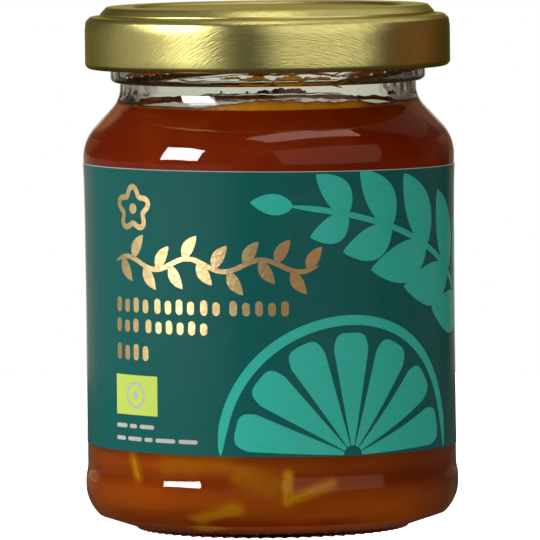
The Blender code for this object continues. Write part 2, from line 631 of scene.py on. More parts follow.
@dataclass
class GlassJar:
    """The jar itself: foot with a knurled ring, heel, body, shoulder, neck and the bead below the lid."""

    sides: int = 384
    foot_inner: float = 18.6
    foot_outer: float = 20.7
    foot_rise: Pair = (20.95, 0.45)
    push_up: float = 1.6
    knurls: int = 70
    knurl_depth: float = 0.24
    heel: Pair = (22.085, 6.9)
    heel_curve: float = 6.4
    heel_sweep: float = 46.0
    waist: float = 2.3
    body: Table = (
        (28.165, 9.9), (28.15, 12.6), (28.1, 16.0), (28.04, 32.0),
        (28.04, 36.0), (28.1, 48.0), (28.16, 53.0), (28.26, 55.4),
    )
    shoulder: Pair = (21.11, 56.6)
    shoulder_curve: float = 7.2
    slope: float = 43.0
    neck: float = 22.6
    neck_height: float = 67.2
    neck_curve: float = 4.2
    bead: float = 24.0
    bead_low: float = 68.1
    bead_round: float = 0.85
    threads: int = 4
    thread_height: float = 0.55
    thread_start: float = -64.0
    thread_span: float = 62.0
    thread_low: float = 69.1
    thread_rise: float = 2.4
    rim: float = 78.65
    rim_round: float = 0.5
    wall: float = 25.7
    floor: float = 4.8
    floor_curve: float = 4.5
    bore: float = 20.3
    inner_shoulder: float = 55.2
    inner_curve: float = 5.0

    def inner_profile(self, gap: float = 0.0) -> Array:
        """The inside of the glass from the neck down to the middle of the floor, moved gap inwards.

        Args:
            gap: How far it is moved inwards.

        Returns:
            Rows of radius and height.
        """
        neck = (self.neck + self.neck_curve, self.neck_height)
        neck_radius = neck[0] - self.bore + gap
        shoulder = (self.wall - self.inner_curve, self.inner_shoulder)
        floor = (self.wall - self.floor_curve, self.floor + self.floor_curve)
        parts = [
            arc(neck, neck_radius, 180, 180 + self.slope, 12),
            arc(shoulder, self.inner_curve - gap, self.slope, 0, 14),
            arc(floor, self.floor_curve - gap, 0, -90, 14),
            [[0.0, self.floor + gap]],
        ]
        return np.concatenate(parts)

    def outer_profile(self) -> Array:
        """The outside of the glass from the middle of the underside up to the top of the bead's round.

        Above the heel the radius eases in by t^2 (3 - 2 t) while t goes from 0 to 1 over the waist's height.

        Returns:
            Rows of radius and height.
        """
        radius = np.linspace(0, self.foot_inner, 12)
        under = np.stack([radius, self.push_up * (1 - (radius / self.foot_inner) ** 2)], 1)
        neck = (self.neck + self.neck_curve, self.neck_height)
        bead = (self.bead - self.bead_round, self.bead_low + self.bead_round)
        widest = self.heel[0] + self.heel_curve
        t = np.linspace(0, 1, 14)[1:-1]
        body_radius, body_low = self.body[0]
        eased = widest + (body_radius - widest) * t**2 * (3 - 2 * t)
        parts = [
            under,
            [[self.foot_outer, 0.0], self.foot_rise],
            arc(self.heel, self.heel_curve, -self.heel_sweep, 0, 20),
            np.stack([eased, body_low - self.waist * (1 - t)], 1),
            self.body,
            arc(self.shoulder, self.shoulder_curve, 0, self.slope, 18),
            arc(neck, self.neck_curve, 180 + self.slope, 180, 12),
            [[self.neck, self.bead_low]],
            arc(bead, self.bead_round, -90, 0, 7),
        ]
        return np.concatenate(parts)

    def wall_at(self, height: Array) -> Array:
        """The body's outer radius at each height, between heel and shoulder."""
        body = np.array(self.body)
        return np.interp(height, body[:, 1], body[:, 0])

    def inner_wall_at(self, height: Array) -> Array:
        """The inside's radius at each height."""
        wall = self.inner_profile()[::-1]
        return np.interp(height, wall[:, 1], wall[:, 0])

    def knurl(self, points: Array, turn: Array) -> Array:
        """Raises the foot's outer edge between knurls, by near * depth * (1 - cos(knurls * angle)).

        near falls as exp(-(distance / 0.9)^2) from the foot's edge, outwards, inwards and upwards.

        Args:
            points: Points in millimetres.
            turn: Angles round the jar.

        Returns:
            The moved points.
        """
        radius = np.hypot(points[:, 0], points[:, 1])
        near = np.exp(-(((radius - self.foot_outer - 0.3) / 0.9) ** 2) - (points[:, 2] / 0.9) ** 2)
        lifted = points.copy()
        lifted[:, 2] += near * self.knurl_depth * (1 - np.cos(self.knurls * turn))
        return lifted

    def shape_neck(self, points: Array, turn: Array) -> Array:
        """Adds the thread starts outside and the uneven pressed surface inside the neck.

        A thread adds height * exp(-((z - z0) / 0.4)^2) to the radius, where z0 climbs by the rise while the
        angle crosses the span, and fades at both ends. The inside's radius gains
        (0.02 + 0.09 sin(angle)^8) * noise above the fill, and the shoulder's outside 0.035 * noise.

        Args:
            points: Points in millimetres.
            turn: Angles round the jar.

        Returns:
            The moved points.
        """
        radius = np.hypot(points[:, 0], points[:, 1])
        height = points[:, 2]
        period = 2 * np.pi / self.threads
        along = np.mod(turn - radians(self.thread_start), period) / radians(self.thread_span)
        ends = np.clip(along * 8, 0, 1) * np.clip((1 - along) * 8, 0, 1)
        middle = self.thread_low + self.thread_rise * along
        outside = (radius > 23.5) & (height > self.bead_low)
        thread = outside * ends * self.thread_height * np.exp(-(((height - middle) / 0.4) ** 2))
        inside = (radius < self.bore + 0.6) & (height > 65.9) & (height < self.rim - 1)
        uneven = inside * (0.02 + 0.09 * np.sin(turn) ** 8) * smooth_noise(turn, height * 1.7, 21, 14, 9.0)
        shoulder = (radius > 22.6) & (height > 57) & (height < 62)
        wavy = shoulder * 0.035 * np.sin(np.pi * (height - 57) / 5)
        wavy = wavy * smooth_noise(turn, height * 1.2, 8, 12, 7.0)
        grown = 1 + (thread + uneven + wavy) / np.maximum(radius, 1)
        return points * np.stack([grown, grown, np.ones_like(grown)], 1)

    def build(self, material: Material) -> Thing:
        """Builds the glass as one closed wall.

        Args:
            material: Its finish.

        Returns:
            The new object.
        """
        finish = arc((self.bead - self.rim_round, self.rim - self.rim_round), self.rim_round, 0, 90, 4)
        rim_in = arc((self.bore + self.rim_round, self.rim - self.rim_round), self.rim_round, 90, 180, 4)
        inner = self.inner_profile()
        outer = self.outer_profile()
        straight = np.stack([np.full(20, self.bead), np.linspace(outer[-1, 1] + 0.3, 74.0, 20)], 1)
        bore = np.stack([np.full(24, self.bore), np.linspace(77.0, inner[0, 1] + 0.3, 24)], 1)
        profile = np.concatenate([outer, straight, finish, rim_in, bore, inner])
        points, turn, faces = turned(densify(profile, 1.2), self.sides)
        points = self.shape_neck(self.knurl(points, turn), turn)
        piece = make_piece("glass_jar", points, faces, material, Slot.GLASS, ("jar",), sharp=30)
        piece.visible_shadow = False
        return piece


@dataclass(frozen=True)
class Shred:
    """One shred of peel that lies along the inside of the glass."""

    turn: float
    height: float
    length: float
    width: float
    slant: float
    strength: float
    blur: float
    bend: float = 0.0

    def nearness(self, turn: Array, height: Array, radius: float) -> Array:
        """How much of the peel shows: strength on its middle, falling as exp(-(distance / blur)^2).

        Args:
            turn: Angles round the jar.
            height: Heights in millimetres.
            radius: The gel's radius.

        Returns:
            Values between 0 and strength.
        """
        across = (np.mod(turn - radians(self.turn) + np.pi, 2 * np.pi) - np.pi) * radius
        up = height - self.height
        tilt = radians(self.slant)
        along = across * np.cos(tilt) + up * np.sin(tilt)
        aside = -across * np.sin(tilt) + up * np.cos(tilt) - self.bend * along**2
        beyond = np.maximum(np.abs(along) - self.length / 2 + self.width / 2, 0)
        distance = np.maximum(np.hypot(beyond, aside) - self.width / 2, 0)
        return self.strength * np.exp(-((distance / self.blur) ** 2))


@dataclass
class Marmalade:
    """The fill. It reaches a little into the glass wall, and its skin is coloured by the peel behind it."""

    glass: GlassJar
    level: float = 64.0
    into_wall: float = 0.1
    sides: int = 360
    climb: float = 1.65
    tall_towards: float = 11.0
    film: float = 0.22
    ripple: float = 0.03
    front_shreds: tuple[Shred, ...] = (
        Shred(-50, 10.9, 4.4, 0.7, 108, 0.5, 0.6),
        Shred(-21.5, 2.8, 9.0, 1.2, 22, 0.9, 1.0),
        Shred(4.9, 8.0, 5.2, 0.6, 88, 0.95, 0.45),
        Shred(13.4, 7.4, 6.3, 0.6, 20, 0.85, 0.6),
        Shred(-5, 9.2, 6.0, 1.6, -18, 0.4, 1.2),
        Shred(-26, 11.9, 9.5, 1.2, 2, 0.3, 1.3),
    )
    near_glass: tuple[int, ...] = (0, 2, 3)
    seed: int = 11
    low_shreds: int = 16
    low_range: Table = ((80, 4, 4, 1.3, 0, 0.3, 0.7), (268, 13, 10, 2.6, 180, 0.8, 1.8))
    back_shreds: int = 8
    back_range: Table = ((168, 14, 4, 1.3, 0, 0.3, 0.7), (192, 54, 9, 2.2, 180, 0.7, 1.5))
    # Painted glow by length up the side: light through the jelly drawn in as a lighter colour.
    glow_band: Table = (
        (-2.0, 2.0, 5.0, 7.0, 8.4, 9.8, 11.2, 13.0, 16.0, 50.0, 56.0),
        (0.0, 0.85, 1.0, 0.8, 0.4, 0.35, 0.75, 0.8, 0.3, 0.12, 0.0),
    )
    # Moves the painted pale rim's edge by length up the side.
    rim_reach: Table = ((2, 5, 9, 54, 56, 58.5, 60, 62), (-2, -0.3, 0, 0, -0.035, -0.035, 0.01, 0.035))
    # Painted shade on the bottom by length up the side.
    painted_underside_shade: Table = ((-3.6, -1.8), (1, 0))

    def shreds(self) -> tuple[Shred, ...]:
        """The shreds seen in the photo, and seeded ones round the rest of the jar.

        Returns:
            All shreds, those at the front first.
        """
        draw = np.random.default_rng(self.seed)
        low = [Shred(*draw.uniform(*self.low_range).tolist()) for _ in range(self.low_shreds)]
        back = [Shred(*draw.uniform(*self.back_range).tolist()) for _ in range(self.back_shreds)]
        return (*self.front_shreds, *low, *back)

    def build(self, material: Material) -> Thing:
        """Builds the gel, turned from the glass's inside, with a flat top.

        The length up its side gives its attributes: light is the painted glow band plus 0.1 * noise, reach
        moves the painted pale rim's edge and under paints shade on the bottom.

        Args:
            material: Its finish.

        Returns:
            The new object.
        """
        side = self.glass.inner_profile(-self.into_wall)[::-1]
        edge = float(np.interp(self.level, side[:, 1], side[:, 0]))
        side = np.concatenate([side[side[:, 1] < self.level], [[edge, self.level], [0, self.level]]])
        points, turn, faces = turned(densify(side, 0.6), self.sides)
        piece = make_piece("marmalade_gel", points, faces, material, Slot.PRESERVE, ("marmalade",), sharp=50)
        out = np.hypot(points[:, 0], points[:, 1])
        up = self.up_the_side(out, points[:, 2])
        shown = sum(shred.nearness(turn, up, self.glass.wall) for shred in self.shreds())
        on_side = np.clip((out - 14) / 4, 0, 1)
        point_attribute(piece, "peel", np.clip(shown, 0, 1) * on_side)
        # Painted light: light is a glow band, reach places the painted pale rim and under is painted shade
        # on the bottom.
        point_attribute(piece, "light", np.interp(up, *self.glow_band) + 0.1 * smooth_noise(turn, up, 3))
        point_attribute(piece, "reach", np.interp(up, *self.rim_reach))
        point_attribute(piece, "under", np.interp(up, *self.painted_underside_shade))
        return piece

    def up_the_side(self, out: Array, height: Array) -> Array:
        """Each point's length up the gel's side, the same as its height where the side is upright.

        On the lower edge's round it is c - r (90 degrees - a), where a is the angle from straight down and c
        the round's middle height, and on the bottom it falls with the radius.

        Args:
            out: Distances from the axis.
            height: Heights in millimetres.

        Returns:
            One length for each point.
        """
        curve = self.glass.floor_curve + self.into_wall
        middle = self.glass.floor + self.glass.floor_curve
        start = self.glass.wall - self.glass.floor_curve
        angle = np.arctan2(out - start, np.maximum(middle - height, 1e-6))
        below = middle - curve * np.pi / 2
        rounded = middle - curve * (np.pi / 2 - np.maximum(angle, 0))
        return np.where(height >= middle, height, np.where(out > start, rounded, below - (start - out)))

    def on_side(self, turn: Array, up: Array, lift: Array) -> Array:
        """Points of the gel's side by angle and length up it, lifted outwards: up_the_side turned round.

        Args:
            turn: Angles round the jar.
            up: Lengths up the gel's side.
            lift: How far the points are moved outwards.

        Returns:
            Points with a last axis of three.
        """
        curve = self.glass.floor_curve + self.into_wall
        middle = self.glass.floor + self.glass.floor_curve
        start = self.glass.wall - self.glass.floor_curve
        angle = np.pi / 2 - (middle - np.clip(up, middle - curve * np.pi / 2, middle)) / curve
        out = start + (curve + lift) * np.sin(angle) - np.maximum(middle - curve * np.pi / 2 - up, 0)
        height = middle - (curve + lift) * np.cos(angle) + np.maximum(up - middle, 0)
        return around(out, turn, height)

    def build_peel(self, material: Material) -> Thing:
        """Builds the shreds that touch the glass: strips that stand 0.05 sqrt(1 - v^2) out of the gel.

        At u from -1 to 1 along a strip, half its width is w / 2 * (1 - u^4)^0.5, and v is -1 to 1 across it.

        Args:
            material: Its finish.

        Returns:
            The new object.
        """
        chosen = [self.front_shreds[number] for number in self.near_glass]
        chosen += self.shreds()[len(self.front_shreds) :: 2]
        u = np.linspace(-1, 1, 40)
        v = np.linspace(-1, 1, 9)[:, None]
        strips = []
        for shred in chosen:
            along = u * shred.length / 2
            aside = v * shred.width / 2 * np.sqrt(1 - u**4) + shred.bend * along**2
            tilt = radians(shred.slant)
            across = along * np.cos(tilt) - aside * np.sin(tilt)
            turn = radians(shred.turn) + across / self.glass.wall
            up = shred.height + along * np.sin(tilt) + aside * np.cos(tilt)
            bulge = np.broadcast_to(0.05 * np.sqrt(1 - v**2), up.shape)
            strips.append(slab(self.on_side(turn, up, bulge), self.on_side(turn, up, bulge - 0.2)))
        return make_piece("peel_shreds", *joined(strips), material, Slot.PRESERVE, sharp=60, merge=1e-4)

    def build_skin(self, material: Material) -> Thing:
        """Builds the wet free surface, a thin disc on the gel: height = level + 0.06 + ripple * noise.

        Args:
            material: Its finish.

        Returns:
            The new object.
        """
        reach = self.glass.bore - 0.2
        radius = np.linspace(0, reach, 40)
        upper = np.stack([radius, np.full(40, self.level + 0.06)], 1)
        profile = np.concatenate([upper, upper[::-1] - [0, 0.08]])
        points, turn, faces = turned(profile, 200)
        out = np.hypot(points[:, 0], points[:, 1])
        points[:, 2] += self.ripple * np.clip(out / 5, 0, 1) * smooth_noise(turn, out * 1.5, 9, 8, 2.0)
        return make_piece("marmalade_skin", points, faces, material, Slot.PRESERVE, sharp=60)

    def build_film(self, material: Material) -> Thing:
        """Builds the film that climbs the glass above the marmalade's edge.

        Its upper edge is level + climb * (0.35 + 0.65 w) * (1 + noise), where w is 1 over the tall stretch
        in front, 0.35 at the back and 0 between. Its thickness is film * sqrt(1 - t), t from 0 at the bottom
        to 1 at that edge.

        Args:
            material: Its finish.

        Returns:
            The new object.
        """
        turn = np.linspace(0, 2 * np.pi, 720, endpoint=False)
        flat = np.zeros_like(turn)
        uneven = 0.22 * smooth_noise(turn, flat, 5, 10, 3.0) + 0.16 * smooth_noise(turn, flat, 6, 14, 16.0)
        t = np.linspace(0, 1, 10)[:, None]
        low = self.level - 0.5
        facing = np.cos(turn - radians(self.tall_towards))
        tall = np.maximum(1 / (1 + np.exp(-(facing - 0.86) * 40)), 0.35 / (1 + np.exp((facing + 0.5) * 12)))
        height = low + t * (0.5 + self.climb * (0.35 + 0.65 * tall) * np.clip(1 + uneven, 0.3, 1.6))
        radius = self.glass.inner_wall_at(height)
        inner = radius + (0.06 - self.film * np.sqrt(1 - t))
        points, faces = slab(around(radius + 0.1, turn, height), around(inner, turn, height), True)
        piece = make_piece("marmalade_film", points, faces, material, Slot.PRESERVE, sharp=60)
        point_attribute(piece, "edge", np.tile((t**7 + 0.75 * (1 - tall)).ravel(), 2))
        return piece


@dataclass(frozen=True)
class Smear:
    """One strip of dried marmalade on the inner wall of the neck, with a jagged upper edge."""

    turn: float
    height: float
    half_length: float
    rise: float
    dry: float = 0.8


@dataclass
class NeckSmears:
    """Thin patches on the inside of the neck, just above the marmalade and below the lid."""

    glass: GlassJar
    thickness: float = 0.16
    seed: int = 4
    patches: tuple[Smear, ...] = (
        Smear(-52, 65.6, 2.4, 0.5),
        Smear(-44, 65.9, 0.9, 0.7, 1.0),
        Smear(-33, 65.3, 2.6, 0.35),
        Smear(-18, 65.9, 0.9, 0.35, 1.0),
        Smear(-68, 66.4, 0.7, 1.0),
        Smear(38, 65.8, 2.2, 0.65, 1.0),
        Smear(47, 65.7, 1.8, 0.5),
        Smear(60, 66.1, 1.2, 1.0),
        Smear(203, 65.1, 3.6, 0.4),
        Smear(190, 65.15, 3.8, 0.45),
        Smear(172, 65.15, 4.4, 0.95),
        Smear(154, 65.15, 3.4, 0.45),
        Smear(147, 66.3, 1.0, 0.4),
        Smear(196, 64.7, 5.0, 0.22, 0.0),
        Smear(-15, 69.2, 1.6, 0.4, 0.2),
        Smear(-5, 69.0, 2.4, 0.65, 0.0),
        Smear(9, 68.95, 2.6, 0.7, -0.2),
        Smear(20, 69.0, 2.1, 0.65, 0.0),
        Smear(29, 69.25, 1.1, 0.4, 0.1),
        Smear(190, 68.2, 4.0, 0.4, 0.3),
        Smear(172, 68.2, 3.6, 0.5, 0.4),
    )

    def build(self, material: Material) -> Thing:
        """Builds the strips as one piece.

        At u from -1 to 1 along a strip, its upper edge is rise * (1 - u^2)^0.6 * (0.8 + 0.4 * noise) over
        its foot, and it bulges inwards by the thickness times sqrt(1 - v^2) for v from -1 to 1 across it.

        Args:
            material: Its finish.

        Returns:
            The new object.
        """
        draw = np.random.default_rng(self.seed)
        u = np.linspace(-1, 1, 160)
        v = np.linspace(-1, 1, 7)[:, None]
        strips = []
        rims = []
        for patch in self.patches:
            run = u * patch.half_length * 0.5
            jagged = smooth_noise(run, u * 0, int(draw.integers(1000)), 12, 2.5)
            jagged += 0.25 * smooth_noise(run, u * 0, int(draw.integers(1000)), 8, 14.0)
            top = patch.rise * (1 - u**2) ** 0.6 * np.clip(0.8 + 0.4 * jagged, 0.2, 1.5)
            foot = -0.06 * smooth_noise(run, u * 0, int(draw.integers(1000)), 12, 4.0)
            height = patch.height + foot + (top + 0.03) * (v + 1) / 2
            turn = radians(patch.turn) + u * patch.half_length / self.glass.bore
            turn = np.broadcast_to(turn, height.shape)
            radius = self.glass.inner_wall_at(height)
            bulge = 0.08 - self.thickness * np.sqrt(np.maximum(1 - v**2, 0)) * np.sqrt(1 - u**2)
            strips.append(slab(around(radius + 0.12, turn, height), around(radius + bulge, turn, height)))
            rims.append(np.tile((np.maximum(np.abs(v) ** 3, u**8) + patch.dry).ravel(), 2))
        piece = make_piece("neck_smears", *joined(strips), material, Slot.PRESERVE, sharp=60)
        point_attribute(piece, "edge", np.concatenate(rims))
        return piece


@dataclass
class LabelSheet:
    """The paper, wrapped round the body with an open strip at the back and set on a little askew.

    A place on it is the arc length s from its middle, to the right, and the height z if it were level.
    """

    glass: GlassJar
    reach: float = 82.3
    low: float = 13.02
    high: float = 55.7
    radius: float = 28.2
    thickness: float = 0.09
    margin: float = 0.13
    askew: float = 0.0112

    def place(self, s: Array, z: Array, lift: float) -> Array:
        """Points on the label: angle s / radius, and height z - askew * x.

        Args:
            s: Arc lengths.
            z: Heights.
            lift: How far the points stand off the glass.

        Returns:
            Points with a last axis of three.
        """
        turn = s / self.radius
        out = self.glass.wall_at(z) + lift
        return around(out, turn, z - self.askew * out * np.sin(turn))

    def build(self, material: Material) -> Thing:
        """Builds the paper. Its attribute is 1 on the printed face and 0 at its top edge and behind.

        Args:
            material: Its finish.

        Returns:
            The new object.
        """
        rows = np.append(np.linspace(self.low, self.high - self.margin, 60), self.high)
        z, s = np.meshgrid(rows, np.linspace(-self.reach, self.reach, 421), indexing="ij")
        points, faces = slab(self.place(s, z, self.thickness), self.place(s, z, -0.02))
        piece = make_piece("label_paper", points, faces, material, Slot.PAPER, ("label",), sharp=40)
        point_attribute(piece, "printed", np.append(z.ravel() < self.high, np.zeros(z.size)))
        return piece


@dataclass
class Print:
    """Flat shapes of one ink, laid on the label and made one piece.

    Each shape is a grid of (s, z) places; the first axis runs across it and the second along it.
    """

    name: str
    sheet: LabelSheet
    material: Material
    thickness: float = 0.03
    shapes: list[tuple[Array, bool]] = field(default_factory=list)

    def leaf(self, base: Pair, angle: float, length: float, width: float, bend: float = 0.0) -> None:
        """Adds an almond leaf: half its width at u of its length is width / 2 * sin(pi * u ** 0.85) ** 0.8.

        Args:
            base: Where its stalk is.
            angle: The way it points, in degrees above the direction of s.
            length: Its length.
            width: Its greatest width.
            bend: How far its middle is bowed to the left of its line.
        """
        u = np.linspace(0, 1, max(12, int(length * 2)))
        v = np.linspace(-1, 1, max(5, int(width * 1.5)))[:, None]
        aside = v * width / 2 * np.sin(np.pi * u**0.85) ** 0.8 + bend * 4 * u * (1 - u)
        ahead = circle(radians(angle))
        left = np.array([-ahead[1], ahead[0]])
        grid = np.array(base) + (length * u)[None, :, None] * ahead + aside[..., None] * left
        self.shapes.append((grid, False))

    def bar(self, start: Pair, end: Pair, width: float) -> None:
        """Adds a bar with round ends: half its width is sqrt(r^2 - d^2) within r = width / 2 of an end.

        Args:
            start: One end, as s and z.
            end: The other end.
            width: Its width in millimetres.
        """
        first, last = np.array(start), np.array(end)
        length = float(np.hypot(*(last - first)))
        half = width / 2
        ends = half * (1 - np.cos(np.linspace(0, np.pi / 2, 7)))
        body = np.linspace(half, max(length - half, half), max(2, int(length)))[1:-1]
        u = np.concatenate([ends, body, length - ends[::-1]])
        d = np.maximum(half - np.minimum(u, length - u), 0)
        aside = np.linspace(-1, 1, 5)[:, None] * np.sqrt(np.maximum(half**2 - d**2, 0))
        ahead = (last - first) / length
        left = np.array([-ahead[1], ahead[0]])
        self.shapes.append((first + u[None, :, None] * ahead + aside[..., None] * left, False))

    def ribbon(self, path: Array, width: float, closed: bool = False) -> None:
        """Adds a line of even width along a path, with pointed ends when it is open.

        Args:
            path: Rows of s and z.
            width: The line's width.
            closed: Whether the path's end meets its start.
        """
        if closed:
            ahead = np.roll(path, -1, axis=0) - np.roll(path, 1, axis=0)
            taper = np.ones(len(path))
        else:
            ahead = np.gradient(path, axis=0)
            u = np.linspace(0, 1, len(path))
            taper = np.sqrt(np.clip(np.minimum(u, 1 - u) * 14, 0, 1))
        left = np.stack([-ahead[:, 1], ahead[:, 0]], 1) / np.hypot(*ahead.T)[:, None]
        aside = np.linspace(-1, 1, 4)[:, None] * taper * width / 2
        self.shapes.append((path + aside[..., None] * left, closed))

    def disc(self, centre: Pair, radius: float) -> None:
        """Adds a round dot: radius rho * (cos a, sin a) for rho from 0 to 1.

        Args:
            centre: Its middle, as s and z.
            radius: Its radius.
        """
        rho = np.linspace(0, 1, max(3, int(radius * 2)))[:, None]
        a = np.linspace(0, 2 * np.pi, 28, endpoint=False)
        grid = np.array(centre) + radius * rho[..., None] * circle(a)
        self.shapes.append((grid, True))

    def panel(self, low: Pair, high: Pair) -> None:
        """Adds an upright rectangle from its low left corner to its high right one."""
        s, z = np.meshgrid(np.linspace(low[0], high[0], 14), np.linspace(low[1], high[1], 9))
        self.shapes.append((np.stack([s, z], -1), False))

    def wedge(self, centre: Pair, angles: Pair, radii: Pair) -> None:
        """Adds one segment of a citrus slice, rounded at its outer corners and pointed at its inner end.

        At a part t of the way between its two sides, it ends at radius r1 * (1 - 0.13 * |2 t - 1| ** 5).

        Args:
            centre: The slice's middle.
            angles: The directions of its two sides, in degrees.
            radii: The radii r0 and r1 that it lies between.
        """
        t = np.linspace(0, 1, 25)
        a = np.radians(angles[0] + (angles[1] - angles[0]) * t)
        end = radii[1] * (1 - 0.13 * np.abs(2 * t - 1) ** 5)
        rho = np.linspace(0, 1, 22)[:, None]
        r = radii[0] + (end - radii[0]) * rho
        grid = np.array(centre) + r[..., None] * circle(a)
        self.shapes.append((grid, False))

    def build(self) -> Thing:
        """Builds the piece. Shapes are kept within the paper's edges.

        Returns:
            The new object.
        """
        paper = self.sheet.thickness
        slabs = []
        for grid, closed in self.shapes:
            s = grid[..., 0]
            z = np.clip(grid[..., 1], self.sheet.low + 0.01, self.sheet.high - 0.01)
            front = self.sheet.place(s, z, paper + self.thickness)
            slabs.append(slab(front, self.sheet.place(s, z, paper - 0.02), closed))
        return make_piece(self.name, *joined(slabs), self.material, Slot.PAPER, sharp=40, merge=1e-4)


@dataclass
class Label:
    """The wrapped paper and its print, a generic design of citrus slices, leaves and gold ornaments."""

    sheet: LabelSheet
    mint: str = "30AA9A"
    lime: str = "B6CE5A"
    white: str = "B0B0A8"
    slice_centre: Pair = (12.5, 13.05)
    slice_radius: float = 21.0
    slice_parts: int = 7
    sprig: Table = ((47.0, 30.0), (30.0, 48.0), (3.0, 50.5))
    leaf_pairs: Table = ((14, 14, 13.5), (36, 13.5, 13.5), (58, 12.5, 12.5), (79, 10.5, 9.5), (98, 8, 7))
    blossom: Pair = (-22.9, 49.7)
    beads: tuple[tuple[float, float, Table], ...] = (
        (35.2, 2.3, ((-26.4, 4), (-18.2, 4), (-10.2, 2), (-5.6, 5))),
        (32.1, 2.1, ((-26.5, 3), (-20.0, 6))),
        (28.1, 2.5, ((-26.5, 4),)),
    )

    def build(self) -> None:
        """Builds paper and print."""
        paper = PrintedPaper()
        self.sheet.build(paper.make("label_paper_offset_printed"))
        self.build_mint(paper.make("mint_offset_ink", self.mint))
        self.build_gold(GoldFoil().make())
        patch = Print("label_green_patch", self.sheet, paper.make("lime_offset_ink", self.lime), 0.02)
        patch.panel((-27.4, 18.6), (-18.4, 24.6))
        patch.build()
        self.build_white(paper.make("white_offset_ink", self.white))

    def build_mint(self, material: Material) -> None:
        """Builds the half slice at the label's lower edge and the leaves that hang from its upper edge.

        Args:
            material: Its finish.
        """
        mint = Print("label_mint_print", self.sheet, material, 0.02)
        span = 180 / self.slice_parts
        for part in range(self.slice_parts):
            sides = (part * span + 2.6, (part + 1) * span - 2.6)
            mint.wedge(self.slice_centre, sides, (1.5, self.slice_radius - 2.6))
        a = np.linspace(0, np.pi, 90)
        mint.ribbon(np.array(self.slice_centre) + (self.slice_radius - 0.7) * circle(a), 1.5)
        first, middle, last = np.array(self.sprig)
        u = np.linspace(0, 1, 120)[:, None]
        stem = first * (1 - u) ** 2 + 2 * middle * u * (1 - u) + last * u**2
        mint.ribbon(stem, 0.9)
        ahead = np.degrees(np.arctan2(*np.gradient(stem, axis=0).T[::-1]))
        for at, upper, lower in self.leaf_pairs:
            for turn, length in ((-38, upper), (40, lower)):
                width = 1.4 + length * 0.38
                mint.leaf(stem[at], float(ahead[at]) + turn, length, width, turn * 0.02)
        mint.leaf(last + [0.6, 0], float(ahead[-1]), 6.5, 3.2)
        mint.build()

    def build_gold(self, material: Material) -> None:
        """Builds the blossom, the garland under it and three rows of beads.

        Args:
            material: Its finish.
        """
        gold = Print("label_gold_foil", self.sheet, material, 0.035)
        a = np.linspace(0, 2 * np.pi, 120, endpoint=False)
        radius = 2.75 + 0.55 * np.cos(5 * a)
        petals = radius[:, None] * circle(a)[:, ::-1]
        gold.ribbon(np.array(self.blossom) + petals, 0.85, closed=True)
        gold.disc(self.blossom, 0.8)
        u = np.linspace(0, 1, 160)
        stem = np.stack([-27.2 + 34.6 * u, 41.6 + 0.9 * np.sin(u * 6 * np.pi)], 1)
        gold.ribbon(stem, 0.75)
        for number in range(14):
            way = 1 if number % 2 else -1
            gold.leaf(stem[8 + number * 11], 58 * way, 4.2, 1.9, 0.25 * way)
        for z, tall, groups in self.beads:
            for start, count in groups:
                for bead in range(count):
                    s = start + bead * 1.95
                    short = 0.25 if bead % 2 else 0.0
                    gold.bar((s, z - tall / 2), (s, z + tall / 2 - short), 1.15)
        gold.build()

    def build_white(self, material: Material) -> None:
        """Builds the ring on the green patch and two rows of small dashes.

        Args:
            material: Its finish.
        """
        white = Print("label_white_print", self.sheet, material, 0.03)
        a = np.linspace(0, 2 * np.pi, 60, endpoint=False)
        white.ribbon(np.array([-22.9, 21.6]) + 1.8 * circle(a), 0.4, closed=True)
        white.disc((-22.9, 21.6), 0.6)
        for z, lengths in ((16.9, (2.6, 1.6, 2.9)), (15.0, (2.2, 3.0, 1.6, 3.6, 3.2))):
            s = -27.4
            for length in lengths:
                white.bar((s, z), (s + length, z), 0.62)
                s += length + 0.6
        white.build()


